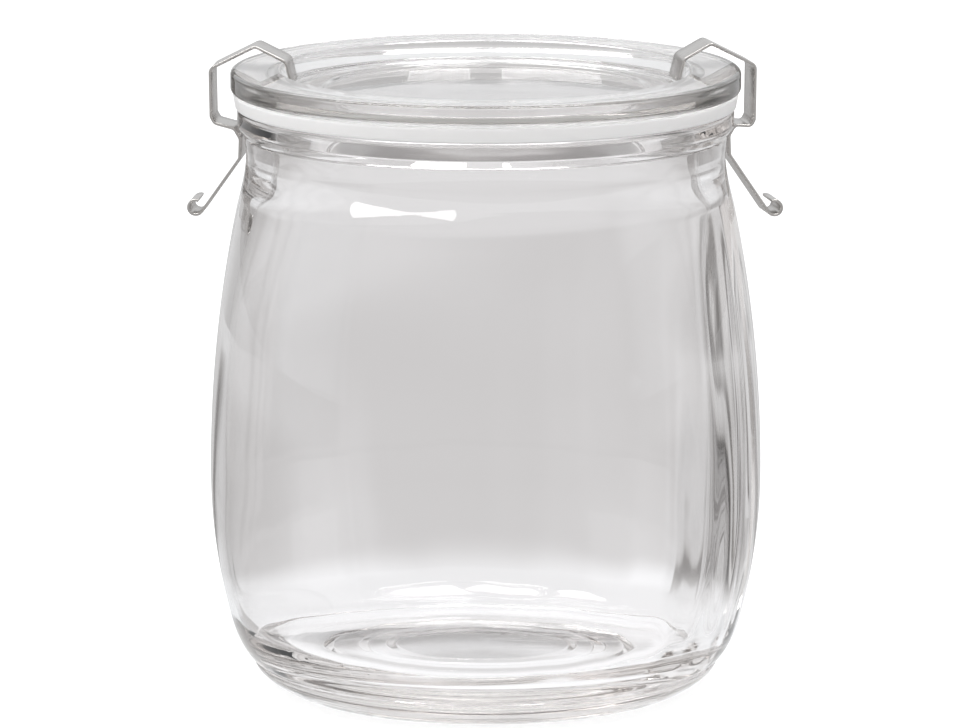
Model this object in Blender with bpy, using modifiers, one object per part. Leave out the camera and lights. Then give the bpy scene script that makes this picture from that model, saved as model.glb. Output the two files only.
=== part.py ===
"""A small tulip-shaped preserving jar: glass body, sealing ring, glass lid and two spring clips.

Metres, +Z up. The origin is the middle of the foot's bearing ring, so the jar stands on z = 0.
Run with: blender --background --python part.py
"""
import math
from dataclasses import dataclass

import bmesh
import bpy
from mathutils import Vector

MM = 0.001

# Glass body, outer side
BODY_HEIGHT = 80.5 * MM
BELLY_RADIUS = 37.9 * MM
BELLY_HEIGHT = 30.0 * MM
SHOULDER_SWEEP = 180.0 * MM
SHOULDER_HEIGHT = 67.0 * MM
HEEL_SWEEP = 77.0 * MM
HEEL_HEIGHT = 9.5 * MM
NECK_RADIUS = 32.8 * MM
NECK_HEIGHT = 74.3 * MM
COLLAR_RADIUS = 34.0 * MM
COLLAR_HEIGHT = 78.1 * MM
COLLAR_CHAMFER = 1.2 * MM
COLLAR_CHAMFER_RUN = 0.95 * MM
COLLAR_ROUND = 0.7 * MM

# Lengths of the curve handles that draw the neck into the shoulder and the heel into the groove
NECK_PULL = 2.2 * MM
SHOULDER_PULL = (0.75 * MM, 3.0 * MM)
HEEL_PULL = (0.5 * MM, 1.8 * MM)
GROOVE_PULL = (1.4 * MM, 1.5 * MM)
SIDE_PARTS = 12

# Foot ring, below the groove that the mould leaves round the heel
GROOVE_RADIUS = 31.95 * MM
GROOVE_HEIGHT = 4.05 * MM
GROOVE_LIP = (0.45 * MM, 0.2 * MM)
FOOT_RADIUS = 32.1 * MM
FOOT_HEIGHT = 3.9 * MM
FOOT_PULL = 0.35
BEARING_OUTER = 26.5 * MM
BEARING_INNER = 21.7 * MM

# Stepped hollow under the base: radius and height of each terrace, from the outside in
TERRACES = ((20.2 * MM, 1.3 * MM), (16.0 * MM, 2.1 * MM), (11.7 * MM, 2.9 * MM))
TERRACE_RISE_RUN = 1.2 * MM
TERRACE_FALL = 0.1 * MM

# Glass body, inside
MOUTH_RADIUS = 29.0 * MM
MOUTH_HEIGHT = 73.4 * MM
WALL_BELLY = 3.0 * MM
WALL_HEEL = 2.3 * MM
FLOOR_HEIGHT = 6.3 * MM
FLOOR_CROWN = 0.5 * MM
FLOOR_CORNER = (5.6 * MM, 6.8 * MM)
FLOOR_CORNER_LEAN = 15.8
WALL_TOP = 67.2 * MM
WALL_PARTS = 9
WALL_PULL = (0.4 * MM, 1.9 * MM)
MOUTH_PULL = 1.9 * MM
RIM_ROUND_INSIDE = 0.9 * MM

# Pieces that rest on one another keep this much air between them
SEAT_GAP = 0.3 * MM

# Sealing ring between the rim and the lid
RING_HEIGHT = 1.6 * MM
RING_INNER = 30.3 * MM
RING_TOP_RADIUS = 34.6 * MM
RING_FOOT_RADIUS = 34.2 * MM
RING_EDGE_BREAK = 0.25 * MM

# Glass lid
LID_RADIUS = 34.9 * MM
LID_EDGE_HEIGHT = 3.0 * MM
LID_EDGE_ROUND_TOP = 0.6 * MM
LID_EDGE_ROUND_FOOT = 0.7 * MM
RECESS_EDGE_RADIUS = 28.0 * MM
RECESS_FOOT_RADIUS = 27.1 * MM
RECESS_DEPTH = 2.5 * MM
RECESS_STEP_RADIUS = 22.4 * MM
RECESS_STEP_DEPTH = 0.4 * MM
LID_SEAT_INNER = 29.9 * MM
PLUG_RADIUS = 28.7 * MM
PLUG_DEPTH = 5.5 * MM
PLUG_INNER = 27.3 * MM
PLUG_ROUND = 0.3 * MM
PLUG_TAPER = 0.3 * MM
LID_MIDDLE_THICKNESS = 2.6 * MM
LID_EDGE_BREAK = 0.3 * MM
LID_STEP_RUN = 0.4 * MM
LID_HOLLOW_RUN = 1.75 * MM

# Spring clips, bent from flat steel strip
STRIP_WIDTH = 6.0 * MM
STRIP_THICKNESS = 0.4 * MM
STRIP_EDGE_BREAK = 0.08 * MM
STRIP_BEND = 0.9 * MM
CURL_RADIUS = 1.0 * MM
CURL_END_ANGLE = 110.0
ACROSS_CURLS = 82.0 * MM
TIP = (26.4 * MM, 83.55 * MM)
TIP_BEND = (27.2 * MM, 86.6 * MM)
PEAK = (31.4 * MM, 88.65 * MM)
CORNER_TOP = (37.6 * MM, 85.5 * MM)
CORNER_SIDE = (37.5 * MM, 78.1 * MM)
CORNER_FOOT = (37.0 * MM, 77.2 * MM)
UNDER_COLLAR = (34.3 * MM, 77.3 * MM)
NECK_TOP = (33.5 * MM, 75.9 * MM)
NECK_FOOT = (33.6 * MM, 73.2 * MM)

TURN_STEPS = 60


@dataclass(frozen=True)
class ClipPlace:
    """Where a clip sits round the jar, how low its curled end hangs, how its bow is raised and drawn in."""

    name: str
    azimuth: float
    curl_height: float
    corner_lift: float
    bow_inset: float


CLIPS = (
    ClipPlace("clip_left", 174.5, 66.3 * MM, 0.8 * MM, 0.0 * MM),
    ClipPlace("clip_right", 11.0, 65.6 * MM, -0.1 * MM, 0.45 * MM),
)


# Outlines

def arc(centre, radius, start, end, count):
    """Points on an arc, angles in degrees from +X, both ends included."""
    points = []
    for i in range(count + 1):
        angle = math.radians(start + (end - start) * i / count)
        points.append((centre[0] + radius * math.cos(angle), centre[1] + radius * math.sin(angle)))
    return points


def ellipse_part(centre, half_width, half_height, start, end, count):
    """Points on part of an ellipse, angles in degrees from +X."""
    points = []
    for i in range(count + 1):
        angle = math.radians(start + (end - start) * i / count)
        points.append((centre[0] + half_width * math.cos(angle), centre[1] + half_height * math.sin(angle)))
    return points


def bezier(first, first_handle, last_handle, last, count):
    """Points on a cubic curve, both ends included."""
    points = []
    for i in range(count + 1):
        t = i / count
        weights = ((1 - t) ** 3, 3 * t * (1 - t) ** 2, 3 * t * t * (1 - t), t ** 3)
        corners = (first, first_handle, last_handle, last)
        points.append(tuple(sum(w * c[k] for w, c in zip(weights, corners)) for k in (0, 1)))
    return points


def joined(*stretches):
    """One outline from several stretches, without the points that two of them share."""
    outline = []
    for stretch in stretches:
        for point in stretch:
            if outline and math.dist(outline[-1], point) < 0.02 * MM:
                continue
            outline.append(point)
    return outline


def belly_offset(height):
    """How far the outer side has drawn in from the belly at this height."""
    sweep = SHOULDER_SWEEP if height > BELLY_HEIGHT else HEEL_SWEEP
    rise = height - BELLY_HEIGHT
    return sweep - math.sqrt(sweep * sweep - rise * rise)


def jar_outer():
    """The outer side of the body from the rim's top down to the bearing ring."""
    shoulder_radius = BELLY_RADIUS - belly_offset(SHOULDER_HEIGHT)
    heel_radius = BELLY_RADIUS - belly_offset(HEEL_HEIGHT)
    rim = arc((COLLAR_RADIUS - COLLAR_ROUND, BODY_HEIGHT - COLLAR_ROUND), COLLAR_ROUND, 90, 0, 3)
    chamfer_foot = (COLLAR_RADIUS - COLLAR_CHAMFER_RUN, COLLAR_HEIGHT - COLLAR_CHAMFER)
    collar = [(COLLAR_RADIUS, COLLAR_HEIGHT), chamfer_foot, (NECK_RADIUS, NECK_HEIGHT)]
    shoulder = bezier(
        (NECK_RADIUS, NECK_HEIGHT),
        (NECK_RADIUS, NECK_HEIGHT - NECK_PULL),
        (shoulder_radius - SHOULDER_PULL[0], SHOULDER_HEIGHT + SHOULDER_PULL[1]),
        (shoulder_radius, SHOULDER_HEIGHT),
        6,
    )
    side_part = (SHOULDER_HEIGHT - HEEL_HEIGHT) / SIDE_PARTS
    side_heights = [SHOULDER_HEIGHT - side_part * i for i in range(1, SIDE_PARTS)]
    side = [(BELLY_RADIUS - belly_offset(z), z) for z in side_heights]
    lip = (GROOVE_RADIUS + GROOVE_LIP[0], GROOVE_HEIGHT + GROOVE_LIP[1])
    heel = bezier(
        (heel_radius, HEEL_HEIGHT),
        (heel_radius - HEEL_PULL[0], HEEL_HEIGHT - HEEL_PULL[1]),
        (lip[0] + GROOVE_PULL[0], lip[1] + GROOVE_PULL[1]),
        lip,
        5,
    )
    groove = [(GROOVE_RADIUS, GROOVE_HEIGHT)]
    foot_pull = FOOT_PULL * (FOOT_RADIUS - BEARING_OUTER)
    foot = bezier(
        (FOOT_RADIUS, FOOT_HEIGHT),
        (FOOT_RADIUS, FOOT_HEIGHT * (1 - FOOT_PULL)),
        (BEARING_OUTER + foot_pull, 0.0),
        (BEARING_OUTER, 0.0),
        6,
    )
    return joined(rim, collar, shoulder, side, heel, groove, foot)


def jar_under():
    """The underside from the bearing ring in to the axis, rising in terraces."""
    points = [(BEARING_INNER, 0.0), TERRACES[0]]
    for radius, height in TERRACES[1:]:
        points.append((radius + TERRACE_RISE_RUN, points[-1][1] + TERRACE_FALL))
        points.append((radius, height))
    points.append((0.0, points[-1][1] + TERRACE_FALL))
    return points


def jar_inner():
    """The inside from the middle of the floor out, up the wall and over the mouth."""
    belly_inside = BELLY_RADIUS - WALL_BELLY
    lean = math.radians(FLOOR_CORNER_LEAN)
    corner_middle = FLOOR_HEIGHT + FLOOR_CORNER[1]
    corner_top = corner_middle - FLOOR_CORNER[1] * math.sin(lean)
    floor_edge = BELLY_RADIUS - WALL_HEEL - belly_offset(corner_top) - FLOOR_CORNER[0] * math.cos(lean)
    floor = [(0.0, FLOOR_HEIGHT + FLOOR_CROWN), (floor_edge / 2, FLOOR_HEIGHT + FLOOR_CROWN * 3 / 4)]
    corner = ellipse_part((floor_edge, corner_middle), *FLOOR_CORNER, -90, -FLOOR_CORNER_LEAN, 7)
    wall_heights = [corner_top + (WALL_TOP - corner_top) * i / WALL_PARTS for i in range(1, WALL_PARTS)]
    wall = []
    for height in wall_heights:
        share = min((height - corner_top) / (BELLY_HEIGHT - corner_top), 1.0)
        thinner = (WALL_BELLY - WALL_HEEL) * (1 - share * share * (3 - 2 * share))
        wall.append((belly_inside + thinner - belly_offset(height), height))
    wall_end = belly_inside - belly_offset(WALL_TOP)
    neck = bezier(
        (wall_end, WALL_TOP),
        (wall_end - WALL_PULL[0], WALL_TOP + WALL_PULL[1]),
        (MOUTH_RADIUS, MOUTH_HEIGHT - MOUTH_PULL),
        (MOUTH_RADIUS, MOUTH_HEIGHT),
        5,
    )
    lip_middle = (MOUTH_RADIUS + RIM_ROUND_INSIDE, BODY_HEIGHT - RIM_ROUND_INSIDE)
    lip = arc(lip_middle, RIM_ROUND_INSIDE, 180, 90, 3)
    return joined(floor, corner, wall, neck, lip)


def ring_outline():
    """The sealing ring's section, a flat band whose outer edge leans in towards its foot."""
    foot = BODY_HEIGHT + SEAT_GAP
    top = foot + RING_HEIGHT
    return [
        (RING_INNER, foot),
        (RING_INNER, top),
        (RING_TOP_RADIUS - RING_EDGE_BREAK, top),
        (RING_TOP_RADIUS, top - RING_EDGE_BREAK),
        (RING_FOOT_RADIUS, foot + RING_EDGE_BREAK),
        (RING_FOOT_RADIUS - RING_EDGE_BREAK, foot),
    ]


def lid_outline():
    """The lid's section: recessed top, rounded edge, seat on the ring and a plug in the mouth."""
    seat = BODY_HEIGHT + 2 * SEAT_GAP + RING_HEIGHT
    top = seat + LID_EDGE_HEIGHT
    recess = top - RECESS_DEPTH
    step = recess - RECESS_STEP_DEPTH
    inside = [
        (0.0, step),
        (RECESS_STEP_RADIUS - LID_STEP_RUN, step),
        (RECESS_STEP_RADIUS, recess),
        (RECESS_FOOT_RADIUS - LID_EDGE_BREAK, recess),
        (RECESS_FOOT_RADIUS, recess + LID_EDGE_BREAK),
        (RECESS_EDGE_RADIUS, top - LID_EDGE_BREAK),
        (RECESS_EDGE_RADIUS + LID_EDGE_BREAK, top),
    ]
    edge_top = arc((LID_RADIUS - LID_EDGE_ROUND_TOP, top - LID_EDGE_ROUND_TOP), LID_EDGE_ROUND_TOP, 90, 0, 4)
    edge_foot = arc((LID_RADIUS - LID_EDGE_ROUND_FOOT, seat + LID_EDGE_ROUND_FOOT), LID_EDGE_ROUND_FOOT, 0, -90, 3)
    plug_foot = seat - PLUG_DEPTH
    under = [(LID_SEAT_INNER, seat), (PLUG_RADIUS, seat - PLUG_TAPER)]
    plug = arc((PLUG_RADIUS - PLUG_ROUND, plug_foot + PLUG_ROUND), PLUG_ROUND, 0, -90, 3)
    middle = step - LID_MIDDLE_THICKNESS
    hollow = [(PLUG_INNER, plug_foot), (PLUG_INNER - LID_HOLLOW_RUN, middle), (0.0, middle)]
    return joined(inside, edge_top, edge_foot, under, plug, hollow)


def rounded(corners, radius, count):
    """An open path through corners, each one rounded with an arc as large as its legs allow."""
    path = [Vector(corners[0])]
    for before, corner, after in zip(corners, corners[1:], corners[2:]):
        corner = Vector(corner)
        inward = Vector(before) - corner
        outward = Vector(after) - corner
        half_turn = inward.angle(outward) / 2
        reach = min(radius / math.tan(half_turn), 0.45 * inward.length, 0.45 * outward.length)
        start = corner + inward.normalized() * reach
        end = corner + outward.normalized() * reach
        middle = corner + (inward.normalized() + outward.normalized()).normalized() * reach / math.cos(half_turn)
        first = start - middle
        turn = first.angle_signed(end - middle)
        for i in range(count + 1):
            angle = -turn * i / count
            path.append(middle + Vector((
                first.x * math.cos(angle) - first.y * math.sin(angle),
                first.x * math.sin(angle) + first.y * math.cos(angle),
            )))
    path.append(Vector(corners[-1]))
    return path


def clip_path(place):
    """The strip's middle line in the clip's own plane, from its tip on the lid to its curled end."""
    azimuth = math.radians(place.azimuth)
    reach = (ACROSS_CURLS / 2 - abs(math.sin(azimuth)) * STRIP_WIDTH / 2) / abs(math.cos(azimuth))
    curl_middle = Vector((reach - CURL_RADIUS - STRIP_THICKNESS / 2, place.curl_height))
    leg = curl_middle - Vector(NECK_FOOT)
    tangent_angle = math.degrees(math.atan2(leg.y, leg.x) - math.asin(CURL_RADIUS / leg.length)) - 90
    curl = arc(curl_middle, CURL_RADIUS, tangent_angle, CURL_END_ANGLE, 10)
    lifts = (0.0, 0.0, place.corner_lift, place.corner_lift)
    bow = []
    for (radius, height), lift in zip((PEAK, CORNER_TOP, CORNER_SIDE, CORNER_FOOT), lifts):
        bow.append((radius - place.bow_inset, height + lift))
    corners = (TIP, TIP_BEND, *bow, UNDER_COLLAR, NECK_TOP, NECK_FOOT, curl[0])
    path = rounded(corners, STRIP_BEND, 3)
    return path[:-1] + [Vector(point) for point in curl]


# Objects

def principled(name, colour, roughness, metallic=0.0, transmission=0.0):
    """A Principled BSDF material with linear colour values."""
    material = bpy.data.materials.new(name)
    material.use_nodes = True
    shader = material.node_tree.nodes["Principled BSDF"]
    shader.inputs["Base Color"].default_value = (*colour, 1.0)
    shader.inputs["Roughness"].default_value = roughness
    shader.inputs["Metallic"].default_value = metallic
    shader.inputs["Transmission Weight"].default_value = transmission
    material.diffuse_color = (*colour, 1.0)
    return material


def new_object(name, mesh, collection, material):
    """A named object in the part's collection, with its own material."""
    piece = bpy.data.objects.new(name, mesh)
    collection.objects.link(piece)
    mesh.materials.append(material)
    return piece


def turned(name, outline, closed, collection, material):
    """A turned solid: the outline as an edge chain at +X, and a Screw modifier round Z."""
    points = [(x, 0.0, z) for x, z in outline]
    edges = [(i, i + 1) for i in range(len(points) - 1)]
    if closed:
        edges.append((len(points) - 1, 0))
    mesh = bpy.data.meshes.new(name)
    mesh.from_pydata(points, edges, [])
    piece = new_object(name, mesh, collection, material)
    screw = piece.modifiers.new("Turn", "SCREW")
    screw.axis = "Z"
    screw.steps = TURN_STEPS
    screw.render_steps = TURN_STEPS
    screw.use_merge_vertices = True
    screw.merge_threshold = 0.00001
    screw.use_smooth_shade = True
    return piece


def clip(place, collection, material):
    """A bent strip in the XZ plane, thickened and turned about Z to its place round the jar."""
    mesh = bpy.data.meshes.new(place.name)
    build = bmesh.new()
    half = STRIP_WIDTH / 2
    rows = []
    for point in clip_path(place):
        rows.append([build.verts.new((point.x, side, point.y)) for side in (-half, half)])
    for low, high in zip(rows, rows[1:]):
        build.faces.new((low[0], high[0], high[1], low[1]))
    build.to_mesh(mesh)
    build.free()
    piece = new_object(place.name, mesh, collection, material)
    mesh.shade_smooth()
    mesh.set_sharp_from_angle(angle=math.radians(35))
    shell = piece.modifiers.new("Thickness", "SOLIDIFY")
    shell.thickness = STRIP_THICKNESS
    shell.offset = 0.0
    shell.use_even_offset = True
    edge = piece.modifiers.new("Broken edges", "BEVEL")
    edge.width = STRIP_EDGE_BREAK
    edge.segments = 1
    edge.limit_method = "ANGLE"
    edge.angle_limit = math.radians(60)
    piece.rotation_euler.z = math.radians(place.azimuth)
    return piece


def clear_scene():
    """Remove every object that the start-up scene holds."""
    for piece in list(bpy.data.objects):
        bpy.data.objects.remove(piece, do_unlink=True)


def main():
    """Build the jar, its sealing ring, its lid and both clips."""
    clear_scene()
    parts = bpy.data.collections.new("preserving_jar")
    bpy.context.scene.collection.children.link(parts)

    glass = principled("jar_glass", (0.80, 0.80, 0.79), 0.03, transmission=0.95)
    lid_glass = principled("lid_glass", (0.80, 0.80, 0.79), 0.03, transmission=0.95)
    seal = principled("seal_white", (0.80, 0.82, 0.84), 0.45)
    steel_left = principled("spring_steel_left", (0.45, 0.44, 0.43), 0.30, metallic=1.0)
    steel_right = principled("spring_steel_right", (0.45, 0.44, 0.43), 0.30, metallic=1.0)

    body_outline = joined(jar_inner(), jar_outer(), jar_under())
    turned("jar", body_outline, False, parts, glass)
    turned("sealing_ring", ring_outline(), True, parts, seal)
    turned("lid", lid_outline(), False, parts, lid_glass)
    for place, material in zip(CLIPS, (steel_left, steel_right)):
        clip(place, parts, material)


if __name__ == "__main__":
    main()
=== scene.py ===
"""The looks of a small tulip-shaped preserving jar, in Blender 4.5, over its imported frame.

The glass body, lid, sealing ring and spring clips are modelled finely in place of the plain solids.
Lengths are metres; the frame's origin is the middle of the foot's bearing ring, +Z is up.
"""

import logging
import math
from collections.abc import Callable
from dataclasses import dataclass, field
from enum import Enum
from typing import Any

import bmesh
import bpy
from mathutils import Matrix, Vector

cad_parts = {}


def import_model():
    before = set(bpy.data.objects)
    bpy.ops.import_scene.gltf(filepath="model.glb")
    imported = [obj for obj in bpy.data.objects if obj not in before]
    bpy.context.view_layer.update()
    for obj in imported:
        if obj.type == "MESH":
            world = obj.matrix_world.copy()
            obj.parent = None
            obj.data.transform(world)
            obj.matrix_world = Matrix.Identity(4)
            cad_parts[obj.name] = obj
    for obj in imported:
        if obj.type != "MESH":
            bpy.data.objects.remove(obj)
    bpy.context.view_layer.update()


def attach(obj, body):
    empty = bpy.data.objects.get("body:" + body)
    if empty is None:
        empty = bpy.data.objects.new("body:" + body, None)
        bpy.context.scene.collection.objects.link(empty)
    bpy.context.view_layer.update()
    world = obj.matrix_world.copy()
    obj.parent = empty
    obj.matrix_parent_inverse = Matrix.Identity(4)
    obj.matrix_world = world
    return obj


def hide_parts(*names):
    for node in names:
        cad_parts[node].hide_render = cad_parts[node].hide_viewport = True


LOG = logging.getLogger("jar")
MM = 0.001
ROOT_BODY = "root"
Point = tuple[float, float]

# How far beside a round a flat face gets a point of its own, which keeps its smooth shading flat
HOLD = 0.05 * MM
# How much of a flat face one round may take up
FACE_SHARE = 0.48
# Points nearer to each other than this are one point
SAME = 0.01 * MM
# A radius below this is on the axis
ON_AXIS = 0.001 * MM


# Colour and node helpers

def linear(hex_colour: str, alpha: float = 1.0) -> tuple[float, float, float, float]:
    """Turn an sRGB hex colour into linear light.

    Args:
        hex_colour: six hex digits, such as "E8ECEA".
        alpha: the fourth value to hand back.

    Returns:
        Linear red, green, blue and alpha.
    """
    values = []
    for start in (0, 2, 4):
        value = int(hex_colour[start:start + 2], 16) / 255
        values.append(value / 12.92 if value <= 0.04045 else ((value + 0.055) / 1.055) ** 2.4)
    return (*values, alpha)


def add_node(
    tree: bpy.types.NodeTree,
    kind: str,
    inputs: dict[str | int, Any] | None = None,
    links: dict[str | int, bpy.types.NodeSocket] | None = None,
    **settings: Any,
) -> bpy.types.Node:
    """Add a node, set its values and link what feeds it.

    Args:
        tree: the node tree that the node goes in.
        kind: the node's type, such as "ShaderNodeBump".
        inputs: values for sockets, by name or number.
        links: sockets of other nodes that feed this node's sockets.
        **settings: the node's own properties.

    Returns:
        The new node.
    """
    node = tree.nodes.new(kind)
    for name, value in settings.items():
        setattr(node, name, value)
    for name, value in (inputs or {}).items():
        node.inputs[name].default_value = value
    for name, socket in (links or {}).items():
        tree.links.new(socket, node.inputs[name])
    return node


def profile(
    tree: bpy.types.NodeTree, value: bpy.types.NodeSocket, scale: float, stops: tuple[Point, ...]
) -> bpy.types.NodeSocket:
    """Turn a value into another by a curve through a few stops.

    Args:
        tree: the node tree.
        value: the socket that is looked up.
        scale: what the socket's value is multiplied by to be in the stops' unit, such as degrees.
        stops: pairs of the value and what it turns into, in rising order.

    Returns:
        The socket with the result.
    """
    low, high = stops[0][0], stops[-1][0]
    place = add_node(
        tree, "ShaderNodeMapRange", {"From Min": low / scale, "From Max": high / scale}, {"Value": value}
    )
    ramp = add_node(tree, "ShaderNodeValToRGB", None, {"Fac": place.outputs["Result"]})
    elements = ramp.color_ramp.elements
    ramp.color_ramp.interpolation = "EASE"
    while len(elements) < len(stops):
        elements.new(0.5)
    for element, (at, _) in zip(elements, stops):
        element.position = (at - low) / (high - low)
    for element, (_, result) in zip(elements, stops):
        element.color = (result, result, result, 1)
    return ramp.outputs["Color"]


def new_material(name: str) -> tuple[bpy.types.Material, bpy.types.NodeTree]:
    """Make an empty node material.

    Args:
        name: the material's name.

    Returns:
        The material and its node tree.
    """
    material = bpy.data.materials.new(name)
    material.use_nodes = True
    material.node_tree.nodes.clear()
    return material, material.node_tree


# Finishes

@dataclass(frozen=True)
class SodaLimeGlass:
    """Clear soda-lime glass, pressed and blown in an iron mould.

    The mould leaves the skin fire-polished but faintly rippled, so straight lines behind it waver.
    A trace of iron tints long paths through the rim and the heel a warm green-grey.
    """

    name: str
    tint: str = "FFFEFE"
    ior: float = 1.52
    roughness: float = 0.0
    depth_tint: str = "8C8476"
    depth_density: float = 12.0
    ripple_pitch: float = 9.0 * MM
    ripple_height: float = 0.01 * MM

    def build(self) -> bpy.types.Material:
        """Make the material.

        Returns:
            Glass with a rippled skin and depth tint.
        """
        material, tree = new_material(self.name)
        place = add_node(tree, "ShaderNodeTexCoord")
        ripple = add_node(
            tree, "ShaderNodeTexNoise",
            {"Scale": 1 / self.ripple_pitch, "Detail": 1.0, "Roughness": 0.4},
            {"Vector": place.outputs["Object"]},
        )
        bump = add_node(
            tree, "ShaderNodeBump",
            {"Strength": 1.0, "Distance": self.ripple_height},
            {"Height": ripple.outputs["Fac"]},
        )
        shader = add_node(
            tree, "ShaderNodeBsdfPrincipled",
            {
                "Base Color": linear(self.tint),
                "Roughness": self.roughness,
                "IOR": self.ior,
                "Transmission Weight": 1.0,
            },
            {"Normal": bump.outputs["Normal"]},
        )
        depth = add_node(
            tree, "ShaderNodeVolumeAbsorption",
            {"Color": linear(self.depth_tint), "Density": self.depth_density},
        )
        add_node(
            tree, "ShaderNodeOutputMaterial", None,
            {"Surface": shader.outputs["BSDF"], "Volume": depth.outputs["Volume"]},
        )
        return material


@dataclass(frozen=True)
class MouldedSilicone:
    """Translucent white silicone, moulded.

    Light goes a millimetre into it before it comes back, so the band looks milky and its edges
    soft, and the mould's fine grain gives it a satin skin.
    """

    name: str = "moulded_white_silicone"
    light: str = "F1F0EF"
    dark: str = "EAE9E8"
    roughness: float = 0.42
    ior: float = 1.41
    milkiness: float = 0.6
    milk_depth: float = 1.2 * MM
    cloud_pitch: float = 12 * MM
    grain_pitch: float = 0.6 * MM
    grain_height: float = 0.01 * MM

    def build(self) -> bpy.types.Material:
        """Make the material.

        Returns:
            Milky white rubber with a faint cloudiness.
        """
        material, tree = new_material(self.name)
        place = add_node(tree, "ShaderNodeTexCoord")
        cloud = add_node(
            tree, "ShaderNodeTexNoise", {"Scale": 1 / self.cloud_pitch, "Detail": 3.0},
            {"Vector": place.outputs["Object"]},
        )
        colour = add_node(
            tree, "ShaderNodeMix",
            {"A": linear(self.light), "B": linear(self.dark)},
            {"Factor": cloud.outputs["Fac"]},
            data_type="RGBA",
        )
        grain = add_node(
            tree, "ShaderNodeTexNoise", {"Scale": 1 / self.grain_pitch, "Detail": 2.0},
            {"Vector": place.outputs["Object"]},
        )
        bump = add_node(
            tree, "ShaderNodeBump", {"Strength": 0.5, "Distance": self.grain_height},
            {"Height": grain.outputs["Fac"]},
        )
        shader = add_node(
            tree, "ShaderNodeBsdfPrincipled",
            {
                "Roughness": self.roughness,
                "IOR": self.ior,
                "Subsurface Weight": self.milkiness,
                "Subsurface Radius": (1.0, 1.0, 1.0),
                "Subsurface Scale": self.milk_depth,
            },
            {"Base Color": colour.outputs["Result"], "Normal": bump.outputs["Normal"]},
        )
        add_node(tree, "ShaderNodeOutputMaterial", None, {"Surface": shader.outputs["BSDF"]})
        return material


@dataclass(frozen=True)
class RolledSpringSteel:
    """Stainless spring strip, cold rolled and then tumbled.

    Rolling draws fine lines along the strip, which stretch its highlights, and tumbling softens
    them to a satin grey. The real lines are about 0.05 mm apart and are drawn coarser here, so that
    they show. The strip's UV map is in millimetres.
    """

    name: str = "rolled_spring_steel"
    light: str = "CBC8C5"
    dark: str = "A9A6A3"
    roughness: Point = (0.18, 0.32)
    stretch_of_light: float = 0.3
    line_pitch: float = 0.25 * MM
    line_height: float = 0.004 * MM
    line_stretch: float = 20.0
    blotch_pitch: float = 2.5 * MM

    def build(self) -> bpy.types.Material:
        """Make the material.

        Returns:
            Satin steel with rolling lines along the strip, read from the strip's UV map.
        """
        material, tree = new_material(self.name)
        place = add_node(tree, "ShaderNodeUVMap", uv_map="strip")
        stretch = add_node(
            tree, "ShaderNodeMapping", {"Scale": (1 / self.line_stretch, 1.0, 1.0)},
            {"Vector": place.outputs["UV"]},
        )
        lines = add_node(
            tree, "ShaderNodeTexNoise", {"Scale": MM / self.line_pitch, "Detail": 3.0, "Roughness": 0.6},
            {"Vector": stretch.outputs["Vector"]},
        )
        blotch = add_node(
            tree, "ShaderNodeTexNoise", {"Scale": MM / self.blotch_pitch, "Detail": 2.0},
            {"Vector": place.outputs["UV"]},
        )
        colour = add_node(
            tree, "ShaderNodeMix",
            {"A": linear(self.light), "B": linear(self.dark)},
            {"Factor": lines.outputs["Fac"]},
            data_type="RGBA",
        )
        rough = add_node(
            tree, "ShaderNodeMapRange",
            {"To Min": self.roughness[0], "To Max": self.roughness[1]},
            {"Value": blotch.outputs["Fac"]},
        )
        bump = add_node(
            tree, "ShaderNodeBump", {"Strength": 0.6, "Distance": self.line_height},
            {"Height": lines.outputs["Fac"]},
        )
        shader = add_node(
            tree, "ShaderNodeBsdfPrincipled",
            {"Metallic": 1.0, "Anisotropic": self.stretch_of_light},
            {
                "Base Color": colour.outputs["Result"],
                "Roughness": rough.outputs["Result"],
                "Normal": bump.outputs["Normal"],
            },
        )
        add_node(tree, "ShaderNodeOutputMaterial", None, {"Surface": shader.outputs["BSDF"]})
        return material


# Outlines of the turned pieces

def arc(centre: Point, radius: float, start: float, end: float, count: int) -> list[Point]:
    """Points on an arc.

    Args:
        centre: the arc's middle, as radius and height.
        radius: the arc's radius.
        start: first angle in degrees from the outward direction.
        end: last angle in degrees.
        count: how many stretches the arc has.

    Returns:
        The points, both ends included.
    """
    return ellipse(centre, radius, radius, start, end, count)


def ellipse(
    centre: Point, width: float, height: float, start: float, end: float, count: int
) -> list[Point]:
    """Points on part of an ellipse.

    Args:
        centre: the ellipse's middle, as radius and height.
        width: half its width.
        height: half its height.
        start: first angle in degrees from the outward direction.
        end: last angle in degrees.
        count: how many stretches it has.

    Returns:
        The points, both ends included.
    """
    points = []
    for step in range(count + 1):
        angle = math.radians(start + (end - start) * step / count)
        points.append((centre[0] + width * math.cos(angle), centre[1] + height * math.sin(angle)))
    return points


def bezier(corners: tuple[Point, Point, Point, Point], count: int) -> list[Point]:
    """Points on a cubic curve.

    Args:
        corners: first point, its handle, the last point's handle and the last point.
        count: how many stretches the curve has.

    Returns:
        The points, both ends included.
    """
    points = []
    for step in range(count + 1):
        t = step / count
        weights = ((1 - t) ** 3, 3 * t * (1 - t) ** 2, 3 * t * t * (1 - t), t ** 3)
        points.append(tuple(sum(w * c[k] for w, c in zip(weights, corners)) for k in (0, 1)))
    return points


def smooth(value: float) -> float:
    """Ease a value from 0 to 1, held at both ends.

    Args:
        value: the value, where 0 and 1 are the ends.

    Returns:
        The eased value.
    """
    value = min(1.0, max(0.0, value))
    return value * value * (3 - 2 * value)


def joined(*stretches: list[Point]) -> list[Point]:
    """Join stretches of outline and leave out the points that two of them share.

    Args:
        *stretches: the stretches, in order.

    Returns:
        One outline.
    """
    outline: list[Point] = []
    for stretch in stretches:
        for point in stretch:
            if not outline or math.dist(outline[-1], point) > SAME:
                outline.append(point)
    return outline


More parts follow.
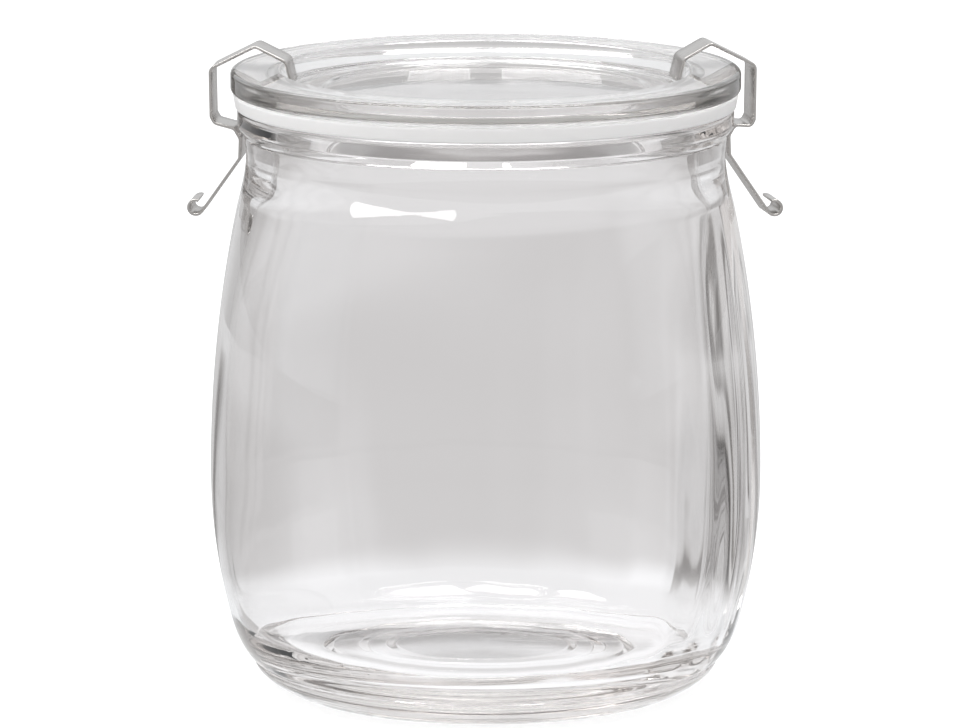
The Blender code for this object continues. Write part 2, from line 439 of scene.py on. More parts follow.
def softened(corners: list[Point], radii: list[float], count: int) -> list[Point]:
    """Round the corners of an open outline.

    Args:
        corners: the outline's corners.
        radii: the radius at each inner corner.
        count: how many stretches each round has.

    Returns:
        The outline with an arc at each inner corner, and a point close to each end of the arc that
        keeps the flat face beside it flat in the smooth shading.
    """
    path = [Vector(corners[0])]
    for before, corner, after, radius in zip(corners, corners[1:], corners[2:], radii):
        corner = Vector(corner)
        back = Vector(before) - corner
        on = Vector(after) - corner
        half_turn = back.angle(on) / 2
        reach = min(radius / math.tan(half_turn), FACE_SHARE * back.length, FACE_SHARE * on.length)
        back_length, on_length = back.length, on.length
        back.normalize()
        on.normalize()
        middle = corner + (back + on).normalized() * reach / math.cos(half_turn)
        first = corner + back * reach - middle
        beside = HOLD if radius > HOLD else 0.0
        if beside and back_length > reach + 2 * beside:
            path.append(corner + back * (reach + beside))
        turn = first.angle_signed(corner + on * reach - middle)
        for step in range(count + 1):
            angle = -turn * step / count
            path.append(middle + Vector((
                first.x * math.cos(angle) - first.y * math.sin(angle),
                first.x * math.sin(angle) + first.y * math.cos(angle),
            )))
        if beside and on_length > reach + 2 * beside:
            path.append(corner + on * (reach + beside))
    path.append(Vector(corners[-1]))
    return [(point.x, point.y) for point in path]


def turned_mesh(
    name: str,
    outline: list[Point],
    steps: int,
    closed: bool = False,
    shift: Callable[[float, float, float, int], float] | None = None,
) -> bpy.types.Mesh:
    """Turn an outline round Z into a closed mesh with its faces pointing out.

    Args:
        name: the mesh's name.
        outline: radius and height of each point, running down the outer side.
        steps: how many steps the turn has.
        closed: True where the outline is a loop that doesn't meet the axis.
        shift: how far a point moves outwards, from its radius, height, angle and place in the outline.

    Returns:
        The mesh, shaded smooth.
    """
    build = bmesh.new()
    rings: list[list[bmesh.types.BMVert]] = []
    for place, (radius, height) in enumerate(outline):
        if radius < ON_AXIS:
            rings.append([build.verts.new((0, 0, height))])
            continue
        ring = []
        for step in range(steps):
            angle = math.tau * step / steps
            out = radius + (shift(radius, height, angle, place) if shift else 0.0)
            ring.append(build.verts.new((out * math.cos(angle), out * math.sin(angle), height)))
        rings.append(ring)
    pairs = list(zip(rings, rings[1:]))
    if closed:
        pairs.append((rings[-1], rings[0]))
    for upper, lower in pairs:
        for step in range(steps):
            after = (step + 1) % steps
            if len(upper) == 1:
                build.faces.new((upper[0], lower[step], lower[after]))
            elif len(lower) == 1:
                build.faces.new((upper[step], lower[0], upper[after]))
            else:
                build.faces.new((upper[step], lower[step], lower[after], upper[after]))
    mesh = bpy.data.meshes.new(name)
    build.to_mesh(mesh)
    build.free()
    mesh.shade_smooth()
    return mesh


def place_piece(
    name: str, mesh: bpy.types.Mesh, material: bpy.types.Material, node: str
) -> bpy.types.Object:
    """Put a mesh in the scene as the piece that stands for a node.

    Args:
        name: the piece's name.
        mesh: its mesh.
        material: its finish.
        node: the solid that it replaces.

    Returns:
        The new object.
    """
    piece = bpy.data.objects.new(name, mesh)
    bpy.context.scene.collection.objects.link(piece)
    mesh.materials.append(material)
    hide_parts(node)
    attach(piece, ROOT_BODY)
    LOG.info("%s: %d faces in place of %s", name, len(mesh.polygons), node)
    return piece


# The glass body

@dataclass
class JarBody:
    """The blown glass body: collar, neck, tulip-shaped side, grooved heel, foot and stepped base.

    A pair is a radius and a height. A lead is how far a curve's handle lies from its end, sideways
    and upright. A wave is its size, its number round the jar, its start in radians and its climb in
    radians a metre; a fold is its azimuth and half width in degrees and its size.
    """

    finish: SodaLimeGlass
    steps: int = 240
    floor_steps: int = 12
    wall_steps: int = 48
    side_steps: int = 50
    height: float = 80.5 * MM
    belly_radius: float = 37.9 * MM
    belly_height: float = 30.0 * MM
    shoulder_sweep: float = 180.0 * MM
    shoulder_height: float = 67.0 * MM
    shoulder_lead: Point = (0.75 * MM, 3.0 * MM)
    heel_sweep: float = 77.0 * MM
    heel_height: float = 9.5 * MM
    heel_lead: Point = (0.5 * MM, 1.8 * MM)
    neck_radius: float = 32.8 * MM
    neck_height: float = 74.3 * MM
    neck_lead: float = 2.2 * MM
    neck_round: float = 1.5 * MM
    collar_radius: float = 34.0 * MM
    collar_height: float = 78.1 * MM
    collar_round: float = 0.7 * MM
    collar_foot_round: float = 0.5 * MM
    chamfer: Point = (0.95 * MM, 1.2 * MM)
    groove: Point = (31.95 * MM, 4.05 * MM)
    groove_lip: Point = (0.45 * MM, 0.2 * MM)
    groove_lead: Point = (1.4 * MM, 1.5 * MM)
    foot_top: Point = (32.1 * MM, 3.9 * MM)
    foot_pull: float = 0.35
    bearing_outer: float = 26.5 * MM
    bearing_inner: float = 21.7 * MM
    bearing_lead: float = 0.2 * MM
    bearing_round: float = 0.3 * MM
    terraces: tuple[Point, ...] = ((20.2 * MM, 1.3 * MM), (16.0 * MM, 2.1 * MM), (11.7 * MM, 2.9 * MM))
    terrace_run: float = 1.2 * MM
    terrace_round: float = 0.9 * MM
    terrace_fall: float = 0.1 * MM
    mouth_radius: float = 29.0 * MM
    mouth_height: float = 73.4 * MM
    mouth_lead: float = 1.9 * MM
    wall: float = 3.0 * MM
    wall_heel: float = 2.3 * MM
    floor_height: float = 6.3 * MM
    floor_crown: float = 0.5 * MM
    floor_corner: Point = (5.6 * MM, 6.8 * MM)
    corner_lean: float = 15.8
    wall_top: float = 67.2 * MM
    wall_top_lead: Point = (0.40 * MM, 1.90 * MM)
    lip_round: float = 0.9 * MM
    wall_shift: float = 1.5 * MM
    wall_extra: float = 0.3 * MM
    uneven_from: float = 26 * MM
    thick_share: Point = (0.6, 0.4)
    waves: tuple[tuple[float, int, float, float], ...] = (
        (0.16 * MM, 3, 0.7, 20.0),
        (0.10 * MM, 7, 2.1, -35.0),
        (0.05 * MM, 16, 0.4, 60.0),
        (0.03 * MM, 31, 1.3, -25.0),
    )
    folds: tuple[tuple[float, float, float], ...] = (
        (-15.0, 2.0, 0.24 * MM),
        (-6.0, 2.4, -0.30 * MM),
        (5.0, 2.4, 0.30 * MM),
        (172.0, 2.0, -0.12 * MM),
    )
    inner_points: int = field(default=0, init=False)

    def draw_in(self, height: float) -> float:
        """How far the side has drawn in from the belly.

        Args:
            height: the height on the side.

        Returns:
            The distance from the belly's radius.
        """
        sweep = self.shoulder_sweep if height > self.belly_height else self.heel_sweep
        rise = height - self.belly_height
        return sweep - math.sqrt(sweep * sweep - rise * rise)

    def inside(self) -> list[Point]:
        """The inside, from the middle of the floor out, up the wall and over the mouth.

        Returns:
            Radius and height of each point.
        """
        belly = self.belly_radius - self.wall
        middle_height = self.floor_height + self.floor_corner[1]
        corner_top = middle_height - self.floor_corner[1] * math.sin(math.radians(self.corner_lean))
        reach = self.floor_corner[0] * math.cos(math.radians(self.corner_lean))
        middle = self.belly_radius - self.wall_heel - self.draw_in(corner_top) - reach
        floor = []
        for step in range(self.floor_steps + 1):
            radius = middle * step / self.floor_steps
            floor.append((radius, self.floor_height + self.floor_crown * (1 - (radius / middle) ** 2)))
        corner = ellipse((middle, middle_height), *self.floor_corner, -90, -self.corner_lean, 20)
        wall = []
        for step in range(1, self.wall_steps):
            height = corner_top + (self.wall_top - corner_top) * step / self.wall_steps
            thin = 1 - smooth((height - corner_top) / (self.belly_height - corner_top))
            wall.append((belly + (self.wall - self.wall_heel) * thin - self.draw_in(height), height))
        wall_end = belly - self.draw_in(self.wall_top)
        neck = bezier(
            (
                (wall_end, self.wall_top),
                (wall_end - self.wall_top_lead[0], self.wall_top + self.wall_top_lead[1]),
                (self.mouth_radius, self.mouth_height - self.mouth_lead),
                (self.mouth_radius, self.mouth_height),
            ),
            14,
        )
        lip_middle = (self.mouth_radius + self.lip_round, self.height - self.lip_round)
        lip = arc(lip_middle, self.lip_round, 180, 90, 8)
        return joined(floor, corner, wall, neck, lip)

    def outside(self) -> list[Point]:
        """The outer side, from the rim's top down to the bearing ring.

        Returns:
            Radius and height of each point.
        """
        shoulder_radius = self.belly_radius - self.draw_in(self.shoulder_height)
        heel_radius = self.belly_radius - self.draw_in(self.heel_height)
        corners = [
            (self.collar_radius - 2 * self.collar_round, self.height),
            (self.collar_radius, self.height),
            (self.collar_radius, self.collar_height),
            (self.collar_radius - self.chamfer[0], self.collar_height - self.chamfer[1]),
            (self.neck_radius, self.neck_height),
        ]
        collar = softened(corners, [self.collar_round, self.collar_foot_round, self.neck_round], 6)
        shoulder = bezier(
            (
                (self.neck_radius, self.neck_height),
                (self.neck_radius, self.neck_height - self.neck_lead),
                (shoulder_radius - self.shoulder_lead[0], self.shoulder_height + self.shoulder_lead[1]),
                (shoulder_radius, self.shoulder_height),
            ),
            18,
        )
        side = []
        for step in range(1, self.side_steps):
            share = step / self.side_steps
            height = self.shoulder_height - (self.shoulder_height - self.heel_height) * share
            side.append((self.belly_radius - self.draw_in(height), height))
        lip = (self.groove[0] + self.groove_lip[0], self.groove[1] + self.groove_lip[1])
        heel = bezier(
            (
                (heel_radius, self.heel_height),
                (heel_radius - self.heel_lead[0], self.heel_height - self.heel_lead[1]),
                (lip[0] + self.groove_lead[0], lip[1] + self.groove_lead[1]),
                lip,
            ),
            16,
        )
        foot = bezier(
            (
                self.foot_top,
                (self.foot_top[0], self.foot_top[1] * (1 - self.foot_pull)),
                (self.bearing_outer + self.foot_pull * (self.foot_top[0] - self.bearing_outer), 0.0),
                (self.bearing_outer, 0.0),
            ),
            16,
        )
        return joined(collar, shoulder, side, heel, [self.groove], foot)

    def under(self) -> list[Point]:
        """The underside, from the bearing ring in to the axis, rising in terraces.

        Returns:
            Radius and height of each point.
        """
        start = self.bearing_outer - self.bearing_lead
        corners = [(start, 0.0), (self.bearing_inner, 0.0), self.terraces[0]]
        for radius, height in self.terraces[1:]:
            corners.append((radius + self.terrace_run, corners[-1][1] + self.terrace_fall))
            corners.append((radius, height))
        corners.append((0.0, corners[-1][1] + self.terrace_fall))
        radii = [self.bearing_round] * 2 + [self.terrace_round] * (len(corners) - 4)
        return softened(corners, radii, 6)

    def uneven(self, radius: float, height: float, angle: float, place: int) -> float:
        """The uneven blown wall: the hollow sits off the axis, so the wall is thick at +X, and it wavers.

        Args:
            radius: the point's radius; not used.
            height: its height.
            angle: its angle round the jar.
            place: its place in the outline.

        Returns:
            How far the point moves outwards.
        """
        if place >= self.inner_points:
            return 0.0
        fade = smooth((self.mouth_height - height) / self.uneven_from)
        out = -self.wall_extra - self.wall_shift * math.cos(angle)
        thick_side = self.thick_share[0] + self.thick_share[1] * math.cos(angle)
        for size, count, turn, climb in self.waves:
            out += size * thick_side * math.sin(count * angle + turn + climb * height)
        for middle, half_width, size in self.folds:
            off = (math.degrees(angle) - middle + 180) % 360 - 180
            out += size * math.exp(-((off / half_width) ** 2))
        return out * fade

    def build(self) -> bpy.types.Object:
        """Make the body.

        Returns:
            The body's object.
        """
        inside = self.inside()
        self.inner_points = len(inside)
        outline = joined(inside, self.outside(), self.under())
        mesh = turned_mesh("jar_glass", outline, self.steps, shift=self.uneven)
        return place_piece("glass_body", mesh, self.finish.build(), "jar")


# The sealing ring

@dataclass
class SealingRing:
    """The white band between the rim and the lid."""

    finish: MouldedSilicone
    steps: int = 192
    foot: float = 80.53 * MM
    top: float = 82.67 * MM
    inner: float = 30.3 * MM
    top_radius: float = 34.6 * MM
    foot_radius: float = 34.2 * MM
    edge_round: float = 0.3 * MM

    def build(self) -> bpy.types.Object:
        """Make the ring.

        Returns:
            The ring's object.
        """
        corners = [
            (self.inner, self.top),
            (self.top_radius, self.top),
            (self.foot_radius, self.foot),
            (self.inner, self.foot),
        ]
        outline = softened(corners, [self.edge_round, self.edge_round], 6)
        mesh = turned_mesh("seal", outline, self.steps, closed=True)
        return place_piece("sealing_band", mesh, self.finish.build(), "sealing_ring")


# The lid

@dataclass
class Lid:
    """The pressed glass lid: recessed top, rounded edge, seat for the ring and a plug in the mouth."""

    finish: SodaLimeGlass
    steps: int = 240
    seat: float = 82.7 * MM
    radius: float = 34.9 * MM
    edge_height: float = 3.0 * MM
    round_top: float = 0.6 * MM
    round_foot: float = 0.7 * MM
    recess_edge: float = 28.0 * MM
    recess_foot: float = 27.1 * MM
    recess_depth: float = 2.5 * MM
    step_radius: float = 22.4 * MM
    step_depth: float = 0.4 * MM
    step_run: float = 0.4 * MM
    recess_draft: float = 0.1 * MM
    seat_inner: float = 29.9 * MM
    seat_rise: float = 0.3 * MM
    plug_radius: float = 28.7 * MM
    plug_depth: float = 5.5 * MM
    plug_inner: float = 27.3 * MM
    plug_lean: float = 30.0
    middle_thickness: float = 2.6 * MM
    recess_rounds: tuple[float, ...] = (0.4 * MM, 0.4 * MM, 0.6 * MM, 0.5 * MM)
    plug_rounds: tuple[float, ...] = (0.4 * MM, 0.3 * MM, 0.3 * MM, 0.4 * MM, 0.2 * MM)

    def outline(self) -> list[Point]:
        """The lid's section, from the middle of its top round its edge to the middle underneath.

        Returns:
            Radius and height of each point.
        """
        top = self.seat + self.edge_height
        recess = top - self.recess_depth
        step = recess - self.step_depth
        plug_foot = self.seat - self.plug_depth
        middle = step - self.middle_thickness
        plug_end = self.plug_inner - (middle - plug_foot) * math.tan(math.radians(self.plug_lean))
        corners = [
            (0.0, step),
            (self.step_radius - self.step_run, step),
            (self.step_radius, recess),
            (self.recess_foot - self.recess_draft, recess),
            (self.recess_edge + self.recess_draft, top),
            (self.radius, top),
            (self.radius, self.seat),
            (self.seat_inner, self.seat),
            (self.plug_radius, self.seat - self.seat_rise),
            (self.plug_radius, plug_foot),
            (self.plug_inner, plug_foot),
            (plug_end, middle),
            (0.0, middle),
        ]
        radii = [*self.recess_rounds, self.round_top, self.round_foot, *self.plug_rounds]
        return softened(corners, radii, 8)

    def build(self) -> bpy.types.Object:
        """Make the lid.

        Returns:
            The lid's object.
        """
        mesh = turned_mesh("lid_glass", self.outline(), self.steps)
        return place_piece("glass_lid", mesh, self.finish.build(), "lid")


# The clips

class Side(Enum):
    """The side of the jar that a clip is on."""

    LEFT = "left"
    RIGHT = "right"


@dataclass
class SpringClip:
    """A spring clip bent from steel strip, hooked under the collar and pressing on the lid.

    Its corners run from the tip in the lid's recess over the lid's edge, down past the collar, under
    it and on to the leg. Hand-bent clips differ: a clip's own bow sits further in, and its own hook
    higher, than the corners say.
    """

    side: Side
    finish: RolledSpringSteel
    azimuth: float
    curl_height: float
    corner_lift: float
    bow_inset: float
    width: float = 6.0 * MM
    thickness: float = 0.4 * MM
    edge_round: float = 0.12 * MM
    crease_angle: float = 40.0
    across_curls: float = 82.0 * MM
    curl_radius: float = 1.0 * MM
    curl_end: float = 110.0
    bend: float = 0.9 * MM
    corners: tuple[Point, ...] = (
        (26.4 * MM, 83.55 * MM),
        (27.2 * MM, 86.6 * MM),
        (31.4 * MM, 88.65 * MM),
        (37.6 * MM, 85.5 * MM),
        (37.5 * MM, 78.1 * MM),
        (37.0 * MM, 77.2 * MM),
        (34.3 * MM, 77.3 * MM),
        (33.5 * MM, 75.9 * MM),
        (33.6 * MM, 73.2 * MM),
    )

    def path(self) -> list[Point]:
        """The strip's middle line in the clip's own plane, from the tip to the curled end.

        Returns:
            Distance from the axis and height of each point.
        """
        turn = math.radians(self.azimuth)
        reach = (self.across_curls / 2 - abs(math.sin(turn)) * self.width / 2) / abs(math.cos(turn))
        curl_middle = Vector((reach - self.curl_radius - self.thickness / 2, self.curl_height))
        leg = curl_middle - Vector(self.corners[-1])
        tangent = math.degrees(math.atan2(leg.y, leg.x) - math.asin(self.curl_radius / leg.length)) - 90
        curl = arc(tuple(curl_middle), self.curl_radius, tangent, self.curl_end, 20)
        corners = [*self.corners, curl[0]]
        for place, lift in ((2, 0.0), (3, 0.0), (4, self.corner_lift), (5, self.corner_lift)):
            corners[place] = (corners[place][0] - self.bow_inset, corners[place][1] + lift)
        path = softened(corners, [self.bend] * (len(corners) - 2), 8)
        return joined(path, curl)

    def build(self) -> bpy.types.Object:
        """Make the clip.

        Returns:
            The clip's object.
        """
        path = self.path()
        turn = math.radians(self.azimuth)
        out = Vector((math.cos(turn), math.sin(turn), 0))
        along = Vector((-math.sin(turn), math.cos(turn), 0))
        section = self.section()
        build = bmesh.new()
        uv = build.loops.layers.uv.new("strip")
        rings = []
        run = 0.0
        for place, point in enumerate(path):
            before = Vector(path[max(place - 1, 0)])
            after = Vector(path[min(place + 1, len(path) - 1)])
            heading = (after - before).normalized()
            normal = Vector((-heading.y, heading.x))
            run += (Vector(point) - before).length
            ring = []
            for across, lift in section:
                spot = Vector(point) + normal * lift
                vert = build.verts.new(out * spot.x + along * across + Vector((0, 0, spot.y)))
                ring.append(vert)
            rings.append((ring, run))
        count = len(section)
        for (low, low_run), (high, high_run) in zip(rings, rings[1:]):
            for side in range(count):
                after = (side + 1) % count
                face = build.faces.new((low[side], high[side], high[after], low[after]))
                face.smooth = True
                rows = (section[side], section[side], section[after], section[after])
                runs = (low_run, high_run, high_run, low_run)
                for loop, (across, lift), length in zip(face.loops, rows, runs):
                    loop[uv].uv = (length / MM, (across + lift) / MM)
        build.faces.new(rings[0][0][::-1])
        build.faces.new(rings[-1][0])
        bmesh.ops.recalc_face_normals(build, faces=build.faces)
        mesh = bpy.data.meshes.new(f"clip_{self.side.value}")
        build.to_mesh(mesh)
        build.free()
        mesh.set_sharp_from_angle(angle=math.radians(self.crease_angle))
        node = f"clip_{self.side.value}"
        return place_piece(f"spring_{node}", mesh, self.finish.build(), node)

    def section(self) -> list[Point]:
        """The strip's section with its rolled edges rounded.

        Returns:
            Places across and through the strip.
        """
        across = self.width / 2 - self.edge_round
        through = self.thickness / 2 - self.edge_round
        points = []
        for turn, (side, face) in enumerate(((1, 1), (-1, 1), (-1, -1), (1, -1))):
            start = 90 * turn
            points += arc((side * across, face * through), self.edge_round, start, start + 90, 3)
        return points


# The studio

@dataclass(frozen=True)
class Panel:
    """A soft-edged light panel at the studio's side, as the glass sees it.

    Angles are in degrees. Azimuth runs from the camera's side towards +X, and soft says how far the
    panel's upright and level edges fade.
    """

    azimuth: Point
    elevation: Point
    strength: float
    soft: Point = (7.0, 6.0)


@dataclass(frozen=True)
class Softbox:
    """A softbox over the jar: the middle and size of its level cloth, its power in watts and its turn.

    The turn is in degrees about the upright.
    """

    name: str
    middle: tuple[float, float, float]
    size: Point
    power: float
    turn: float = 0.0


@dataclass
class Studio:
    """A pale floor under even light, with softboxes, side panels and the camera at the photo's angle.

    The eye sees floor and air as white. The glass sees a white table, a light grey backdrop and
    darker sides, which give it its edges. The table's dark middle and thin dark ring under the jar
    are a painted shadow of the jar on the table. Stops pair a place with a brightness or a share.
    The place is a distance from the axis in millimetres for table, side_reach and deep_table, an
    elevation in degrees for air and deep_air, and a bearing in degrees from +Y towards +X for the
    rest. The narrow dark stops of table_sides give the upright lines near the jar's edges. What is
    called deep is seen only by light that has met deep_rays surfaces: it is painted shade that
    darkens the thick rims, not the lid's flat top.
    """

    image_width: float = 970.0
    sensor: float = 36.0
    focal_pixels: float = 7548.0
    axis_column: float = 485.7
    image_middle: float = 485.0
    pitch: float = 10.498
    distance: float = 1038.6 * MM
    aim_height: float = 44.63 * MM
    clip_end: float = 20.0
    floor_radius: float = 1.0
    floor_steps: int = 96
    floor_drop: float = 0.05 * MM
    fibre_pitch: float = 2 * MM
    paper_shades: Point = (0.34, 0.36)
    paper_glow: float = 0.80
    dim_hue: str = "F5F0ED"
    bright_hue: str = "FBFDFF"
    # Painted shadow: the dark stops at 0-10 mm and 19.5-21 mm are the jar's shadow painted on the table
    # under its raised base
    table: tuple[Point, ...] = (
        (0, 0.70), (10, 0.70), (13, 1.05), (17, 1.05), (19.5, 0.72), (21, 0.72), (23, 1.10), (30, 1.08),
        (42, 0.94), (86, 0.92), (118, 0.66), (270, 0.64), (420, 0.73), (600, 0.75),
    )
    table_sides: tuple[Point, ...] = (
        (-180, 1.05), (-112, 1.05), (-98, 0.55), (-60, 0.55), (-46, 0.95), (-37, 1.0), (-34, 0.35),
        (-31, 0.35), (-28, 1.0), (-15, 1.06), (-9, 1.09), (-4, 1.0), (4, 1.0), (12, 1.06), (18, 1.10),
        (24, 1.22), (30, 1.22), (33, 0.40), (36, 0.40), (39, 1.05), (44, 1.05), (47, 0.30), (49, 0.30),
        (51, 1.05), (54, 0.95), (57, 0.15), (96, 0.25), (110, 1.05), (180, 1.05),
    )
    side_reach: tuple[Point, ...] = (
        (0, 0.0), (60, 0.0), (110, 1.0), (260, 1.0), (430, 0.0), (1100, 0.0),
    )
    air: tuple[Point, ...] = (
        (-90, 0.76), (3, 0.79), (9, 0.84), (15, 0.97), (38, 0.97), (52, 0.84), (90, 0.60),
    )
    air_sides: tuple[Point, ...] = (
        (-180, 1.0), (-82, 1.0), (-62, 0.5), (-30, 0.6), (-18, 0.8), (-11, 1.0), (11, 1.0), (18, 0.8),
        (30, 0.6), (62, 0.5), (82, 1.0), (180, 1.0),
    )
    air_sides_fade: Point = (11.0, 4.0)
    front_light: float = 0.75
    front_fade: Point = (0.05, 0.25)
    # Painted shade: rays that have met this many surfaces see darker air and table, which darkens the thick
    # rims
    deep_rays: float = 6.0
    deep_strength: float = 0.06
    deep_sides: tuple[Point, ...] = ((-180, 0.0), (-11, 0.0), (-7, 1.0), (7, 1.0), (11, 0.0), (180, 0.0))
    deep_air: tuple[Point, ...] = ((-90, 0.0), (7, 0.0), (8, 1.0), (12, 1.0), (16, 0.0), (90, 0.0))
    deep_table: tuple[Point, ...] = ((0, 1.0), (380, 1.0), (520, 0.62), (1100, 0.62))
    light_bounces: int = 32
    panels: tuple[Panel, ...] = (
        Panel((-99.0, -62.0), (-5.0, 30.0), 1.25),
        Panel((68.0, 92.0), (-5.0, 30.0), 1.35),
    )
    softboxes: tuple[Softbox, ...] = (
        Softbox("softbox_left", (-0.453, -0.245, 0.9), (0.86, 0.40), 8.5, -38.3),
        Softbox("softbox_right", (0.26, -0.24, 0.9), (0.50, 0.50), 6.0, 25.0),
    )

    def camera(self) -> None:
        """Add the camera."""
        data = bpy.data.cameras.new("camera")
        data.sensor_width = self.sensor
        data.lens = self.focal_pixels / self.image_width * self.sensor
        data.shift_x = (self.image_middle - self.axis_column) / self.image_width
        data.clip_end = self.clip_end
        camera = bpy.data.objects.new("camera", data)
        tilt = math.radians(self.pitch)
        height = self.aim_height + self.distance * math.sin(tilt)
        camera.location = (0, -self.distance * math.cos(tilt), height)
        camera.rotation_euler = (math.radians(90) - tilt, 0, 0)
        bpy.context.scene.collection.objects.link(camera)
        bpy.context.scene.camera = camera

    def floor(self) -> None:
        """Add the floor: white paper to the eye, a white table on grey ground to the glass."""
        build = bmesh.new()
        bmesh.ops.create_circle(
            build, cap_ends=True, segments=self.floor_steps, radius=self.floor_radius
        )
        mesh = bpy.data.meshes.new("floor")
        build.to_mesh(mesh)
        build.free()
        material, tree = new_material("matt_white_paper")
        place = add_node(tree, "ShaderNodeNewGeometry")
        far = add_node(
            tree, "ShaderNodeVectorMath", None, {0: place.outputs["Position"]}, operation="LENGTH"
        )
        parts = add_node(tree, "ShaderNodeSeparateXYZ", None, {"Vector": place.outputs["Position"]})
        flat = {0: parts.outputs["X"], 1: parts.outputs["Y"]}
        bearing = add_node(tree, "ShaderNodeMath", None, flat, operation="ARCTAN2")
        # The table stops hold a painted shadow under the jar, which only the glass sees
        by_distance = profile(tree, far.outputs["Value"], 1 / MM, self.table)
        by_side = profile(tree, bearing.outputs[0], math.degrees(1), self.table_sides)
        outer = profile(tree, far.outputs["Value"], 1 / MM, self.side_reach)
        sides = add_node(tree, "ShaderNodeMix", {"A": 1.0}, {"Factor": outer, "B": by_side})
        path = add_node(tree, "ShaderNodeLightPath")
        # Painted shade: deep rays see a darker far table, which darkens the thick rims
        deep = add_node(
            tree, "ShaderNodeMapRange", {"From Min": self.deep_rays - 1, "From Max": self.deep_rays},
            {"Value": path.outputs["Ray Depth"]},
        )
        deep_distance = profile(tree, far.outputs["Value"], 1 / MM, self.deep_table)
        darker = add_node(
            tree, "ShaderNodeMix", {"A": 1.0}, {"Factor": deep.outputs["Result"], "B": deep_distance}
        )
        light = by_distance
        for share in (sides, darker):
            light = add_node(
                tree, "ShaderNodeMath", None, {0: light, 1: share.outputs["Result"]}, operation="MULTIPLY"
            ).outputs[0]
        hue = add_node(
            tree, "ShaderNodeMix", {"A": linear(self.dim_hue), "B": linear(self.bright_hue)},
            {"Factor": light}, data_type="RGBA",
        )
        ground = add_node(
            tree, "ShaderNodeEmission", None, {"Color": hue.outputs["Result"], "Strength": light}
        )
        fibres = add_node(
            tree, "ShaderNodeTexNoise", {"Scale": 1 / self.fibre_pitch, "Detail": 3.0},
            {"Vector": place.outputs["Position"]},
        )
        dark, pale = ((grey, grey, grey, 1) for grey in self.paper_shades)
        shade = add_node(
            tree, "ShaderNodeMix", {"A": dark, "B": pale}, {"Factor": fibres.outputs["Fac"]},
            data_type="RGBA",
        )
        paper = add_node(tree, "ShaderNodeBsdfDiffuse", None, {"Color": shade.outputs["Result"]})
        glow = add_node(tree, "ShaderNodeEmission", {"Color": (1, 1, 1, 1), "Strength": self.paper_glow})
        white = add_node(
            tree, "ShaderNodeAddShader", None, {0: paper.outputs["BSDF"], 1: glow.outputs["Emission"]}
        )
        seen = add_node(
            tree, "ShaderNodeMixShader", None,
            {0: path.outputs["Is Camera Ray"], 1: ground.outputs["Emission"], 2: white.outputs["Shader"]},
        )
        add_node(tree, "ShaderNodeOutputMaterial", None, {"Surface": seen.outputs["Shader"]})
        mesh.materials.append(material)
        floor = bpy.data.objects.new("floor", mesh)
        floor.location.z = -self.floor_drop
        bpy.context.scene.collection.objects.link(floor)

    def panel_mask(
        self,
        tree: bpy.types.NodeTree,
        panel: Panel,
        azimuth: bpy.types.NodeSocket,
        rise: bpy.types.NodeSocket,
    ) -> bpy.types.NodeSocket:
        """Where a panel is in the air round the jar.

        Args:
            tree: the world's node tree.
            panel: the panel.
            azimuth: the direction's azimuth in radians.
            rise: the sine of the direction's elevation.

        Returns:
            A value from 0 outside the panel to 1 inside it.
        """
        ranges = []
        for (low, high), soft, value, scale in (
            (panel.azimuth, panel.soft[0], azimuth, math.radians),
            (panel.elevation, panel.soft[1], rise, lambda angle: math.sin(math.radians(angle))),
        ):
            for edge, inward in ((low, soft), (high, -soft)):
                ranges.append((value, scale(edge - inward), scale(edge + inward)))
        mask = None
        for value, start, end in ranges:
            edge = add_node(
                tree, "ShaderNodeMapRange", {"From Min": start, "From Max": end}, {"Value": value},
                interpolation_type="SMOOTHSTEP",
            ).outputs["Result"]
            if mask is not None:
                edge = add_node(
                    tree, "ShaderNodeMath", None, {0: mask, 1: edge}, operation="MULTIPLY"
                ).outputs[0]
            mask = edge
        return mask

    def world(self) -> None:
        """Light the air: white to the eye, a light backdrop with darker sides and panels to the glass."""
        world = bpy.data.worlds.new("studio")
        world.use_nodes = True
        tree = world.node_tree
        tree.nodes.clear()
        place = add_node(tree, "ShaderNodeTexCoord")
        parts = add_node(tree, "ShaderNodeSeparateXYZ", None, {"Vector": place.outputs["Generated"]})
        right, back, rise = (parts.outputs[axis] for axis in "XYZ")
        elevation = add_node(tree, "ShaderNodeMath", None, {0: rise}, operation="ARCSINE")
        bearing = add_node(tree, "ShaderNodeMath", None, {0: right, 1: back}, operation="ARCTAN2")
        by_height = profile(tree, elevation.outputs[0], math.degrees(1), self.air)
        by_side = profile(tree, bearing.outputs[0], math.degrees(1), self.air_sides)
        fade_top, fade_foot = (math.sin(math.radians(angle)) for angle in self.air_sides_fade)
        low = add_node(
            tree, "ShaderNodeMapRange", {"From Min": fade_top, "From Max": fade_foot},
            {"Value": rise}, interpolation_type="SMOOTHSTEP",
        )
        sides = add_node(tree, "ShaderNodeMix", {"A": 1.0}, {"Factor": low.outputs["Result"], "B": by_side})
        shaded = add_node(
            tree, "ShaderNodeMath", None, {0: by_height, 1: sides.outputs["Result"]}, operation="MULTIPLY"
        )
        behind = add_node(
            tree, "ShaderNodeMapRange",
            {"From Min": self.front_fade[0], "From Max": self.front_fade[1]}, {"Value": back},
            interpolation_type="SMOOTHSTEP",
        )
        path = add_node(tree, "ShaderNodeLightPath")
